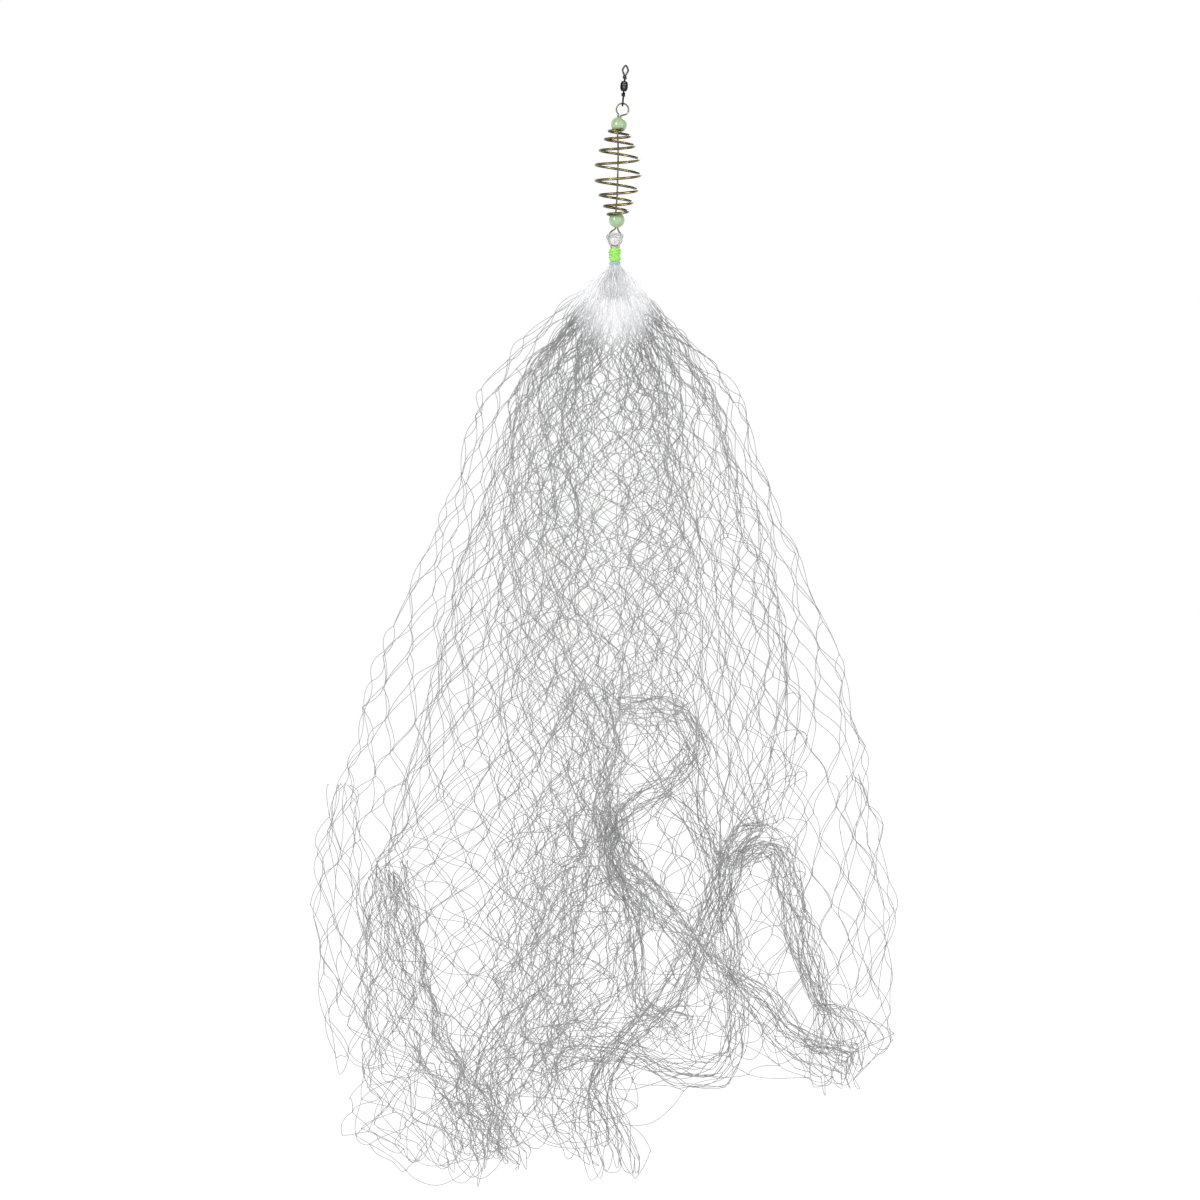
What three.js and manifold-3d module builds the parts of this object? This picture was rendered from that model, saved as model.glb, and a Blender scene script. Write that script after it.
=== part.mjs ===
// Spring-feeder shoal net: a swivel, a ringed wire shaft carrying two beads and a bait spring,
// and ten layers of monofilament netting whipped to the shaft's lower ring.
// Millimetres, +Z up, +X to the right, seen from -Y. The origin is where the fishing line bears,
// on the inside of the top of the swivel's upper eye.

import * as THREE from 'three';
import { mergeVertices } from 'three/addons/utils/BufferGeometryUtils.js';
import Module from 'manifold-3d';

const wasm = await Module();
wasm.setup();

const GAP = 0.3; // clearance between touching pieces
const RADIANS = Math.PI / 180;

// Swivel, measured down its own axis from the bearing point
const SWIVEL_LEAN = 4.5 * RADIANS;
const EYE_WIRE = 0.4; // radius of the eye wire
const TOP_EYE = { half: 1.4, height: 4.3 }; // wire centreline half width, and bearing point to collar
const COLLAR = { radius: 0.85, length: 2.3 };
const BARREL = { top: 7.2, length: 5.2, radius: 1.95, wall: 0.45, hole: 0.8, waist: 0.15 };
const SHANK = 0.45; // radius of the shanks that pass through the barrel's ends
const SHANK_HEAD = { radius: 1.15, length: 0.9 };
const BOTTOM_COLLAR_TOP = BARREL.top + BARREL.length + 0.5;
const BOTTOM_EYE_END = 19.6; // centre of the wire that carries the feeder

// Feeder shaft, measured from the centre of the upper bead
const SHAFT_LEAN = 1.25 * RADIANS;
const SHAFT_TOP = [-3.4, 0, -29.2]; // the upper bead's centre
const SHAFT_WIRE = 0.4; // radius
const RING = { half: 3.05, lift: 7.7, shift: 1.65 }; // upper ring: half width, centre above bead, sideways set
const LOWER_RING = { half: 3.05, straight: 1.8, end: 61.05, shift: -0.67 }; // end: wire centre at the bottom
const BEAD = { radius: 4, bore: 1.25 };
const BEAD_SPACING = 48;
const LEG = 0.55; // the two wires lie this far either side of a bead's axis
const LEG_REACH = 4.1; // they stay parallel to this far from a bead's centre

// Bait spring
const SPRING = { wire: 0.66, turns: 7.5, top: -2.2, bottom: -45.9, start: 120, crowding: 0.38, shear: 0.023 };
const SPRING_RADIUS = { end: 4.45, waist: 11.4 };

// Net head, measured from the wire centre at the bottom of the lower ring
const HEAD_LOOP = { inner: 1.5, outer: 2.85, width: 3.6 };
const CORE = { radius: 2.1, bottom: -11.5 };
const WHIPPING = { inner: CORE.radius + GAP, outer: 2.9 };
const LIME = { top: -1.9, bottom: -7.8 };
const BLUE = { top: -8.1, bottom: -11.3 };
const TUFT = { top: -11.9, length: 17.5, radius: 6 };

// Netting
const NET_TOP = -12.6; // below the lower ring's wire
const NET_THICKNESS = 0.8;
const NET_COLUMNS = 8;
const NET_ROWS = 12;
const BILLOW = 1.5;

// Each outline gives [depth below the net's top, distance from the net's axis].
const INNER_EDGE = [[0, 3.4], [4, 6.4], [9, 7.8], [15, 7.6], [24, 5], [460, 4.5]];
const LEFT_EDGE = [[0, 4.6], [15, 20], [55, 58], [136, 93], [207, 126], [286, 149], [349, 154], [398, 143], [450, 125]];
const RIGHT_EDGE = [[0, 4.6], [15, 20], [58, 60], [111, 81], [187, 113], [248, 129], [349, 140], [387, 136], [420, 112]];
const COLUMN_EDGE = [[0, 4.6], [15, 17], [45, 38], [110, 54], [220, 60], [330, 76], [420, 96], [460, 80]];

// side: the outline, reach: share of it, azimuth: degrees from +X, hems: depth at the inner and outer corner
const LAYERS = [
  { name: 'net_layer_right', azimuth: 0, edge: RIGHT_EDGE, reach: 1, hems: [412, 408] },
  { name: 'net_layer_back_right', azimuth: 27, edge: RIGHT_EDGE, reach: 0.86, hems: [405, 388] },
  { name: 'net_layer_back_mid_right', azimuth: 62, edge: COLUMN_EDGE, reach: 0.92, hems: [440, 415] },
  { name: 'net_layer_back_mid_left', azimuth: 118, edge: COLUMN_EDGE, reach: 0.96, hems: [452, 440] },
  { name: 'net_layer_back_left', azimuth: 152, edge: LEFT_EDGE, reach: 0.8, hems: [430, 430] },
  { name: 'net_layer_left', azimuth: 180, edge: LEFT_EDGE, reach: 1, hems: [432, 448] },
  { name: 'net_layer_front_left', azimuth: 208, edge: LEFT_EDGE, reach: 0.76, hems: [440, 440] },
  { name: 'net_layer_front_mid_left', azimuth: 244, edge: COLUMN_EDGE, reach: 1, hems: [462, 430] },
  { name: 'net_layer_front_mid_right', azimuth: 296, edge: COLUMN_EDGE, reach: 1, hems: [446, 420] },
  { name: 'net_layer_front_right', azimuth: 331, edge: RIGHT_EDGE, reach: 0.8, hems: [412, 400] },
];

// ---------------------------------------------------------------- shape helpers

function circleShape(radius, sides) {
  const shape = new THREE.Shape();
  for (let i = 0; i < sides; i++) {
    const angle = (2 * Math.PI * i) / sides;
    shape.lineTo(radius * Math.cos(angle), radius * Math.sin(angle));
  }
  shape.closePath();
  return shape;
}

/** A round wire of this radius along an open curve. */
function wireGeometry(curve, radius, steps, sides = 8) {
  return new THREE.ExtrudeGeometry(circleShape(radius, sides), {
    steps,
    extrudePath: curve,
    bevelEnabled: false,
  });
}

/** A body turned about Z from [radius, height] points that run up the outside. */
function turnedGeometry(points, segments) {
  const profile = points.map(([radius, height]) => new THREE.Vector2(radius, height));
  return new THREE.LatheGeometry(profile, segments).rotateX(Math.PI / 2);
}

/** A ring turned about Z: its [radius, height] points run round the section and close on themselves. */
function turnedRing(points, segments) {
  return turnedGeometry([...points, points[0]], segments);
}

function solid(geometry) {
  const bare = geometry.clone();
  bare.deleteAttribute('normal');
  bare.deleteAttribute('uv');
  const merged = mergeVertices(bare, 1e-4);
  return new wasm.Manifold(new wasm.Mesh({
    numProp: 3,
    vertProperties: new Float32Array(merged.attributes.position.array),
    triVerts: new Uint32Array(merged.index.array),
  }));
}

function geometryOf(manifold) {
  const mesh = manifold.getMesh();
  const geometry = new THREE.BufferGeometry();
  geometry.setAttribute('position', new THREE.Float32BufferAttribute(mesh.vertProperties, 3));
  geometry.setIndex([...mesh.triVerts]);
  geometry.computeVertexNormals();
  return geometry;
}

function join(...geometries) {
  return geometryOf(geometries.map(solid).reduce((whole, next) => whole.add(next)));
}

function smoothCurve(points) {
  return new THREE.CatmullRomCurve3(points.map((p) => new THREE.Vector3(...p)), false, 'centripetal');
}

/** The value at depth, on a line through [depth, value] points. */
function along(outline, depth) {
  const last = outline.length - 1;
  const next = Math.min(Math.max(outline.findIndex(([d]) => d > depth), 1), last);
  const end = depth >= outline[last][0] ? last : next;
  const [d0, v0] = outline[end - 1];
  const [d1, v1] = outline[end];
  return v0 + (v1 - v0) * Math.min(Math.max((depth - d0) / (d1 - d0), 0), 1);
}

// ---------------------------------------------------------------- materials

function material(color, roughness, metalness) {
  return new THREE.MeshStandardMaterial({ color, roughness, metalness });
}

const blackNickel = material(0x2b2a28, 0.3, 0.9);
const steelWire = material(0x9b9488, 0.3, 0.95);
const antiqueBrass = material(0x8a6f42, 0.35, 0.95);
const luminousPlastic = material(0xaacda5, 0.25, 0);
const limeThread = material(0x8fe03a, 0.8, 0);
const blueThread = material(0x7fa3a8, 0.8, 0);
const monofilament = material(0xc9cccd, 0.3, 0);

// ---------------------------------------------------------------- swivel

/** Half-width of the eye's wire at each share of its height: rounded at the far end, drawn in at the collar. */
function eyePoints(far, collar, half) {
  const shares = [[0.55, 1], [0.8, 0.85], [0.93, 0.5]];
  const reach = far - collar;
  const side = shares.map(([share, width]) => [half * width, collar + reach * share]);
  const neck = [[0.35, collar], [half * 0.8, collar + reach * 0.26]];
  const right = [...neck, ...side];
  const left = right.map(([x, z]) => [-x, z]).reverse();
  return [...right, [0, far], ...left].map(([x, z]) => [x, 0, z]);
}

/** A wire eye, its collar, and the shank whose head is held in the barrel. Heights are from the barrel outwards. */
function eyeGeometry(far, collarNear, collarFar, headInner, headOuter, half) {
  const loop = wireGeometry(smoothCurve(eyePoints(far, collarFar, half)), EYE_WIRE, 36);
  const lift = Math.sign(far - headInner);
  const bulge = (collarNear + collarFar) / 2;
  const stations = [
    [0, headInner],
    [SHANK_HEAD.radius, headInner],
    [SHANK_HEAD.radius, headOuter],
    [SHANK, headOuter],
    [SHANK, collarNear],
    [COLLAR.radius * 0.8, collarNear],
    [COLLAR.radius, bulge],
    [COLLAR.radius * 0.85, collarFar + lift * 0.3],
    [0, collarFar + lift * 0.6],
  ];
  const shank = turnedGeometry(lift > 0 ? stations : [...stations].reverse(), 14);
  return join(loop, shank);
}

function swivelTopEye() {
  const collarNear = -BARREL.top + 0.45;
  const collarFar = collarNear + COLLAR.length;
  const headOuter = -BARREL.top - BARREL.wall - GAP;
  const headInner = headOuter - SHANK_HEAD.length;
  return eyeGeometry(EYE_WIRE, collarNear, collarFar, headInner, headOuter, TOP_EYE.half);
}

function swivelBottomEye() {
  const barrelEnd = -BARREL.top - BARREL.length;
  const headOuter = barrelEnd + BARREL.wall + GAP;
  const headInner = headOuter + SHANK_HEAD.length;
  const collarFar = -BOTTOM_COLLAR_TOP - COLLAR.length + 0.2;
  const eye = eyeGeometry(-BOTTOM_EYE_END, -BOTTOM_COLLAR_TOP, collarFar, headInner, headOuter, TOP_EYE.half);
  return eye.rotateZ(Math.PI / 2);
}

function swivelBarrel() {
  const { top, length, radius, wall, hole, waist } = BARREL;
  const end = -top - length;
  const middle = -top - length / 2;
  return turnedRing([
    [hole, end],
    [radius * 0.72, end],
    [radius - waist, end + 0.6],
    [radius, middle - 0.9],
    [radius, middle + 0.9],
    [radius - waist, -top - 0.6],
    [radius * 0.72, -top],
    [hole, -top],
    [hole, -top - wall],
    [radius - wall - waist, -top - wall - 0.3],
    [radius - wall - waist, end + wall + 0.3],
    [hole, end + wall],
  ], 20);
}

// ---------------------------------------------------------------- feeder

/** One wire: tail in the upper bead, upper ring, down both bores, lower ring, tail in the lower bead. */
function feederShaft() {
  const ringCentre = [RING.shift, RING.lift];
  const ring = [];
  for (let angle = -50; angle <= 230; angle += 20) {
    const x = ringCentre[0] + RING.half * Math.cos(angle * RADIANS);
    const z = ringCentre[1] + RING.half * Math.sin(angle * RADIANS);
    ring.push([x, 0, z]);
  }
  const lowerCentre = [LOWER_RING.shift, LOWER_RING.half - LOWER_RING.end];
  const lowerRing = [];
  for (let angle = 130; angle <= 410; angle += 20) {
    const x = lowerCentre[0] + LOWER_RING.half * Math.cos(angle * RADIANS);
    const z = lowerCentre[1] + LOWER_RING.half * Math.sin(angle * RADIANS);
    const isUpperHalf = Math.sin(angle * RADIANS) > 0;
    lowerRing.push([x, 0, isUpperHalf ? z + LOWER_RING.straight : z]);
  }
  const lowerBead = -BEAD_SPACING;
  return wireGeometry(smoothCurve([
    [LEG, 0, -2.4],
    [LEG, 0, LEG_REACH],
    ...ring,
    [-LEG, 0, LEG_REACH],
    [-LEG, 0, -LEG_REACH],
    [-0.1, 0, -12],
    [0, 0, lowerBead / 2],
    [-0.1, 0, lowerBead + 12],
    [-LEG, 0, lowerBead + LEG_REACH],
    [-LEG, 0, lowerBead - LEG_REACH + 1],
    [-LEG, 0, lowerBead - LEG_REACH],
    ...lowerRing,
    [LEG, 0, lowerBead - LEG_REACH],
    [LEG, 0, lowerBead - LEG_REACH + 1],
    [LEG, 0, lowerBead + 2.4],
  ]), SHAFT_WIRE, 150, 6);
}

function bead() {
  const reach = Math.sqrt(BEAD.radius ** 2 - BEAD.bore ** 2);
  const tilt = Math.atan2(reach, BEAD.bore);
  const steps = 12;
  const points = [];
  for (let i = 0; i <= steps; i++) {
    const angle = -tilt + (2 * tilt * i) / steps;
    points.push([BEAD.radius * Math.cos(angle), BEAD.radius * Math.sin(angle)]);
  }
  return turnedRing(points, 20);
}

/** The double-cone coil, a right-handed helix whose turns sit slightly aslant on the shaft. */
class SpringCurve extends THREE.Curve {
  getPoint(share, target = new THREE.Vector3()) {
    const { turns, top, bottom, start, crowding, shear } = SPRING;
    const wholeTurn = 2 * Math.PI;
    const rise = share - (crowding * Math.sin(wholeTurn * share)) / wholeTurn; // turns crowd at both ends
    const swell = Math.sin(Math.PI * rise) ** 1.1;
    const radius = SPRING_RADIUS.end + (SPRING_RADIUS.waist - SPRING_RADIUS.end) * swell;
    const angle = (start * Math.PI) / 180 + wholeTurn * turns * share;
    const x = radius * Math.cos(angle);
    const y = radius * Math.sin(angle);
    const z = bottom + (top - bottom) * rise - shear * x;
    return target.set(x, y, z);
  }
}

function feederSpring() {
  return wireGeometry(new SpringCurve(), SPRING.wire, Math.round(SPRING.turns * 20), 6);
}

// ---------------------------------------------------------------- net head

/** A band of gathered strands round the lower ring's wire, and the core that runs down inside the whippings. */
function netHeadLoop() {
  const band = turnedRing([
    [HEAD_LOOP.inner, -HEAD_LOOP.width / 2],
    [HEAD_LOOP.outer - 0.4, -HEAD_LOOP.width / 2],
    [HEAD_LOOP.outer, -HEAD_LOOP.width / 4],
    [HEAD_LOOP.outer, HEAD_LOOP.width / 4],
    [HEAD_LOOP.outer - 0.4, HEAD_LOOP.width / 2],
    [HEAD_LOOP.inner, HEAD_LOOP.width / 2],
  ], 20).rotateY(Math.PI / 2);
  const core = turnedGeometry([
    [0, CORE.bottom],
    [CORE.radius, CORE.bottom],
    [CORE.radius, LIME.top - 0.6],
    [1.5, -HEAD_LOOP.inner - 0.5],
    [0, -HEAD_LOOP.inner - 0.5],
  ], 16);
  return join(band, core);
}

function whipping({ top, bottom }) {
  const edge = 0.25;
  return turnedRing([
    [WHIPPING.inner, bottom],
    [WHIPPING.outer - edge, bottom],
    [WHIPPING.outer, bottom + edge],
    [WHIPPING.outer, top - edge],
    [WHIPPING.outer - edge, top],
    [WHIPPING.inner, top],
  ], 20);
}

function strandTuft() {
  const steps = 10;
  const points = [];
  for (let i = 0; i <= steps; i++) {
    const share = i / steps;
    const radius = TUFT.radius * Math.sin(Math.PI * share) ** 0.7;
    points.push([i % steps === 0 ? 0 : radius, TUFT.top - TUFT.length * (1 - share)]);
  }
  return turnedGeometry(points, 16);
}

// ---------------------------------------------------------------- netting

/** A thin closed sheet that hangs in the plane of its azimuth, with a shallow billow. */
function netLayer({ azimuth, edge, reach, hems }) {
  const outwards = new THREE.Vector3(Math.cos(azimuth * RADIANS), Math.sin(azimuth * RADIANS), 0);
  const sideways = new THREE.Vector3(-outwards.y, outwards.x, 0);
  const stride = NET_COLUMNS + 1;
  const positions = [];
  for (const face of [-1, 1]) {
    for (let row = 0; row <= NET_ROWS; row++) {
      for (let column = 0; column <= NET_COLUMNS; column++) {
        const across = column / NET_COLUMNS;
        const down = (row / NET_ROWS) ** 2;
        const hem = hems[0] + (hems[1] - hems[0]) * across;
        const depth = hem * down;
        const inner = along(INNER_EDGE, depth);
        const outer = Math.max(inner + 1.2, along(edge, depth) * reach);
        const radius = inner + (outer - inner) * across;
        const billow = BILLOW * across * down * Math.sin(2 * Math.PI * (across + 0.6 * down) + azimuth);
        const point = new THREE.Vector3(0, 0, NET_TOP - depth)
          .addScaledVector(outwards, radius)
          .addScaledVector(sideways, billow + (face * NET_THICKNESS) / 2);
        positions.push(point.x, point.y, point.z);
      }
    }
  }

  const count = stride * (NET_ROWS + 1);
  const index = [];
  const quad = (a, b, c, d) => index.push(a, b, c, a, c, d);
  for (let row = 0; row < NET_ROWS; row++) {
    for (let column = 0; column < NET_COLUMNS; column++) {
      const a = row * stride + column;
      const b = a + 1;
      const c = b + stride;
      const d = a + stride;
      quad(d, c, b, a);
      quad(count + a, count + b, count + c, count + d);
    }
  }

  const rim = [];
  for (let column = 0; column < NET_COLUMNS; column++) rim.push(column);
  for (let row = 0; row < NET_ROWS; row++) rim.push(row * stride + NET_COLUMNS);
  for (let column = NET_COLUMNS; column > 0; column--) rim.push(NET_ROWS * stride + column);
  for (let row = NET_ROWS; row > 0; row--) rim.push(row * stride);
  rim.forEach((a, i) => {
    const b = rim[(i + 1) % rim.length];
    quad(a, b, count + b, count + a);
  });

  const geometry = new THREE.BufferGeometry();
  geometry.setAttribute('position', new THREE.Float32BufferAttribute(positions, 3));
  geometry.setIndex(index);
  geometry.computeVertexNormals();
  return geometry;
}

// ---------------------------------------------------------------- assembly

function place(parent, name, geometry, paint, position = [0, 0, 0]) {
  const mesh = new THREE.Mesh(geometry, paint);
  mesh.name = name;
  mesh.position.set(...position);
  parent.add(mesh);
}

const group = new THREE.Group();

const swivel = new THREE.Group();
swivel.rotation.y = SWIVEL_LEAN;
group.add(swivel);
place(swivel, 'swivel_top_eye', swivelTopEye(), blackNickel);
place(swivel, 'swivel_barrel', swivelBarrel(), blackNickel);
place(swivel, 'swivel_bottom_eye', swivelBottomEye(), blackNickel);

const feeder = new THREE.Group();
feeder.position.set(...SHAFT_TOP);
feeder.rotation.y = SHAFT_LEAN;
group.add(feeder);
place(feeder, 'feeder_shaft', feederShaft(), steelWire);
place(feeder, 'upper_bead', bead(), luminousPlastic);
place(feeder, 'lower_bead', bead(), luminousPlastic, [0, 0, -BEAD_SPACING]);
place(feeder, 'feeder_spring', feederSpring(), antiqueBrass);

const net = new THREE.Group();
feeder.updateMatrixWorld(true);
net.position.copy(new THREE.Vector3(LOWER_RING.shift, 0, -LOWER_RING.end).applyMatrix4(feeder.matrixWorld));
group.add(net);
place(net, 'net_head_loop', netHeadLoop(), monofilament);
place(net, 'lime_whipping', whipping(LIME), limeThread);
place(net, 'blue_whipping', whipping(BLUE), blueThread);
place(net, 'strand_tuft', strandTuft(), monofilament);
for (const layer of LAYERS) {
  place(net, layer.name, netLayer(layer), monofilament);
}

export default group;
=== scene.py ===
"""Blender scene of the spring-feeder shoal net.

Everything is built in millimetres in the CAD's frame and scaled to metres when a mesh is made. The hardware
repeats the CAD's driving sizes at a finer step, and the netting is knotted bar by bar on a lattice that
follows each layer of the CAD.
"""

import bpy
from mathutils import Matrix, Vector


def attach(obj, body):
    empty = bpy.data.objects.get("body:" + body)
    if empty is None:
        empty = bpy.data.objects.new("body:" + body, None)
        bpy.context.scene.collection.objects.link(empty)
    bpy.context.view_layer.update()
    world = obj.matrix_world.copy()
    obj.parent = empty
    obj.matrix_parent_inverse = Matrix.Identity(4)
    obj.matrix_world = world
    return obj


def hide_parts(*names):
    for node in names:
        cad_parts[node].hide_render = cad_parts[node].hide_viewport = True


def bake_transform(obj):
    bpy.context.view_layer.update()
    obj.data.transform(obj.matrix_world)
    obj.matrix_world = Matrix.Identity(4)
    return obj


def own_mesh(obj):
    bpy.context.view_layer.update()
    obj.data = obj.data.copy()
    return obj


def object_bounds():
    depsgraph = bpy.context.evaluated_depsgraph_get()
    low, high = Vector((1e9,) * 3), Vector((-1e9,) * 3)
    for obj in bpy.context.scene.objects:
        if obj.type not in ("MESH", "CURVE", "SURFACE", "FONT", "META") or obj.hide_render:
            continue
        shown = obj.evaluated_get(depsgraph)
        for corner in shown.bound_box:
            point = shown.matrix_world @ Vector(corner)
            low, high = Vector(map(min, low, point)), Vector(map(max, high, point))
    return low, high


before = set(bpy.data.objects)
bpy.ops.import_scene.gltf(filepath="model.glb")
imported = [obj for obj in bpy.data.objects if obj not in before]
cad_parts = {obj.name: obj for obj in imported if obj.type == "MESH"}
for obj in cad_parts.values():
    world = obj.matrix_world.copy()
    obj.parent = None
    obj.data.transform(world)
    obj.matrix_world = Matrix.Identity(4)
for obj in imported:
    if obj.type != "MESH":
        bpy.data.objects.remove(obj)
CAD_BOX = [list(corner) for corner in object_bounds()]

import math

import bpy
import numpy as np

MM = 0.001

# Swivel, down its own axis from the point where the line bears
SWIVEL_LEAN = math.radians(4.5)
EYE_WIRE = 0.47
EYE_HALF = 1.4
BARREL_TOP = -7.2
BARREL_LENGTH = 5.2
BARREL_RADIUS = 1.95
SHANK = 0.45
BOTTOM_EYE_END = -19.6

# Feeder, from the centre of the upper bead
SHAFT_LEAN = math.radians(1.25)
SHAFT_TOP = np.array([-3.4, 0.0, -29.2])
SHAFT_WIRE = 0.4
RING_HALF = 3.05
UPPER_RING = (1.65, 7.7)
LOWER_RING_SHIFT = -0.67
LOWER_RING_END = -61.05
LOWER_RING_STRAIGHT = 1.8
LEG = 0.55
LEG_REACH = 4.1
BEAD_RADIUS = 4.0
BEAD_BORE = 1.25
BEAD_SPACING = 48.0
SPRING_WIRE = 0.66
SPRING_TURNS = 7.5
SPRING_TOP = -2.2
SPRING_BOTTOM = -45.9
SPRING_END_RADIUS = 4.45
SPRING_WAIST_RADIUS = 11.4
SPRING_CROWDING = 0.38
SPRING_SHEAR = 0.023
SPRING_START = 2 * math.pi / 3

# Net head, from the wire at the bottom of the lower ring
CORE_RADIUS = 2.1
LIME = (-0.9, -7.8)
BLUE = (-7.9, -11.0)
LIME_THREAD = 0.3
BLUE_THREAD = 0.26
EARS = 30  # strands drawn out sideways round the ring
ARCHES = 20  # strands over the ring's wire
STUBS = 30  # short ends that stand up beside it
TUFT_LOOPS = 360
FRIZZ_STRANDS = 230
NET_TOP = -12.6

# Tuft and netting
TUFT_HALF = 6.9
TUFT_LENGTH = 17.6
TUFT_FORWARD = 4.2  # how far the tuft leans out in front of the netting
MONO = 0.17  # radius of a strand
BAR = 19.0  # strand from knot to knot
ROW = 16.4  # drop from one row of knots to the next
COLUMN_ROW = 12.8  # the same in the slack netting of the column
TORN_BAR = 48.0  # no strand is left where two gathers would draw it longer than this


# ---- places

def lean(points, angle, origin=(0.0, 0.0, 0.0)):
    """Points turned about Y by angle, then moved to origin."""
    c, s = math.cos(angle), math.sin(angle)
    turn = np.array([[c, 0, s], [0, 1, 0], [-s, 0, c]])
    return np.asarray(points, float) @ turn.T + np.asarray(origin, float)


def swivel(points):
    return lean(points, SWIVEL_LEAN)


def feeder(points):
    return lean(points, SHAFT_LEAN, SHAFT_TOP)


NET_AXIS = feeder([[LOWER_RING_SHIFT, 0, LOWER_RING_END]])[0]


def net(points):
    return np.asarray(points, float) + NET_AXIS


# ---- mesh helpers

def smoothstep(low, high, value):
    t = np.clip((np.asarray(value, float) - low) / (high - low), 0, 1)
    return t * t * (3 - 2 * t)


def make_mesh(name, points, faces, material, smooth=True):
    """A mesh object from points in millimetres and a list of equal-sided face arrays."""
    blocks = [np.asarray(block, np.int32) for block in faces if len(block)]
    loops = np.concatenate([block.ravel() for block in blocks])
    sides = np.concatenate([np.full(len(block), block.shape[1], np.int32) for block in blocks])
    starts = np.concatenate([[0], np.cumsum(sides)[:-1]]).astype(np.int32)
    mesh = bpy.data.meshes.new(name)
    mesh.vertices.add(len(points))
    mesh.vertices.foreach_set("co", (np.asarray(points, np.float32) * MM).ravel())
    mesh.loops.add(len(loops))
    mesh.loops.foreach_set("vertex_index", loops)
    mesh.polygons.add(len(sides))
    mesh.polygons.foreach_set("loop_start", starts)
    mesh.polygons.foreach_set("loop_total", sides)
    mesh.polygons.foreach_set("use_smooth", np.full(len(sides), smooth))
    mesh.update(calc_edges=True)
    mesh.validate()
    mesh.materials.append(material)
    piece = bpy.data.objects.new(name, mesh)
    bpy.context.scene.collection.objects.link(piece)
    return piece


class Parts:
    """Collects points and faces of several shapes for one mesh."""

    def __init__(self):
        self.points = []
        self.faces = {}
        self.count = 0

    def add(self, points, faces):
        for block in faces:
            block = np.asarray(block, np.int64)
            if len(block):
                self.faces.setdefault(block.shape[1], []).append(block + self.count)
        self.points.append(np.asarray(points, float))
        self.count += len(points)

    def mesh(self, name, material, place=np.asarray):
        blocks = [np.concatenate(found) for found in self.faces.values()]
        return make_mesh(name, place(np.concatenate(self.points)), blocks, material)


def unit(vectors):
    return vectors / np.maximum(np.linalg.norm(vectors, axis=-1, keepdims=True), 1e-9)


def tubes(paths, radius, sides, taper=None):
    """Closed round tubes along many paths of the same length: paths is (count, steps, 3)."""
    paths = np.asarray(paths, float)
    count, steps, _ = paths.shape
    along = unit(np.gradient(paths, axis=1))
    chord = unit(paths[:, -1] - paths[:, 0] + 1e-6)
    spare = np.where(np.abs(chord[:, 1:2]) < 0.8, [[0.0, 1.0, 0.0]], [[1.0, 0.0, 0.0]])
    across = unit(np.cross(along, spare[:, None, :]))
    up = np.cross(across, along)
    angle = np.arange(sides) * 2 * math.pi / sides
    size = radius * (np.ones(steps) if taper is None else taper)
    ring = np.cos(angle)[:, None] * across[:, :, None, :] + np.sin(angle)[:, None] * up[:, :, None, :]
    points = paths[:, :, None, :] + ring * size[None, :, None, None]
    start = (np.arange(count) * steps * sides)[:, None, None]
    row = (np.arange(steps - 1) * sides)[None, :, None]
    here = np.arange(sides)[None, None, :]
    after = (here + 1) % sides
    quads = np.stack(np.broadcast_arrays(
        start + row + here, start + row + after, start + row + sides + after, start + row + sides + here
    ), axis=-1).reshape(-1, 4)
    first = (start[:, 0] + np.arange(sides)[::-1]).reshape(count, sides)
    last = start[:, 0] + (steps - 1) * sides + np.arange(sides)
    return points.reshape(-1, 3), [quads, np.concatenate([first, last.reshape(count, sides)])]


def sweep(path, radius, sides, taper=None):
    """One tube whose frame turns with the path, for wires that coil."""
    path = np.asarray(path, float)
    along = unit(np.gradient(path, axis=0))
    side = unit(np.cross(along[0], [0.31, 0.95, 0.1]))
    frames = []
    for direction in along:
        side = unit(side - direction * np.dot(side, direction))
        frames.append(side)
    across = np.array(frames)
    up = np.cross(along, across)
    angle = np.arange(sides) * 2 * math.pi / sides
    size = radius * (np.ones(len(path)) if taper is None else taper)
    ring = np.cos(angle)[:, None] * across[:, None] + np.sin(angle)[:, None] * up[:, None]
    points = path[:, None] + ring * size[:, None, None]
    row = (np.arange(len(path) - 1) * sides)[:, None]
    here = np.arange(sides)[None]
    after = (here + 1) % sides
    quads = np.stack([row + here, row + sides + here, row + sides + after, row + after], -1).reshape(-1, 4)
    ends = [np.arange(sides), np.arange(sides)[::-1] + (len(path) - 1) * sides]
    return points.reshape(-1, 3), [quads, np.array(ends)]


def rounded_ends(count, share=0.02):
    """A taper that rounds off both ends of a wire."""
    t = np.linspace(0, 1, count)
    near = np.minimum(np.minimum(t, 1 - t) / share, 1)
    return np.sqrt(np.maximum(1 - (1 - near) ** 2, 0.02))


def turned(profile, segments, closed):
    """A body turned about Z from [radius, height] points; closed joins the last point to the first."""
    profile = np.asarray(profile, float)
    count = len(profile)
    angle = np.arange(segments) * 2 * math.pi / segments
    points = np.stack([
        np.outer(np.cos(angle), profile[:, 0]),
        np.outer(np.sin(angle), profile[:, 0]),
        np.tile(profile[:, 1], (segments, 1)),
    ], -1).reshape(-1, 3)
    turn = np.arange(segments)[:, None]
    here = np.arange(count if closed else count - 1)[None]
    after = (here + 1) % count
    next_turn = (turn + 1) % segments
    quads = np.stack(np.broadcast_arrays(
        turn * count + here, next_turn * count + here, next_turn * count + after, turn * count + after
    ), -1).reshape(-1, 4)
    faces = [quads]
    if not closed:
        bottom = np.arange(segments)[::-1] * count
        top = np.arange(segments) * count + count - 1
        faces.append(np.array([bottom, top]))
    return points, faces


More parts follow.
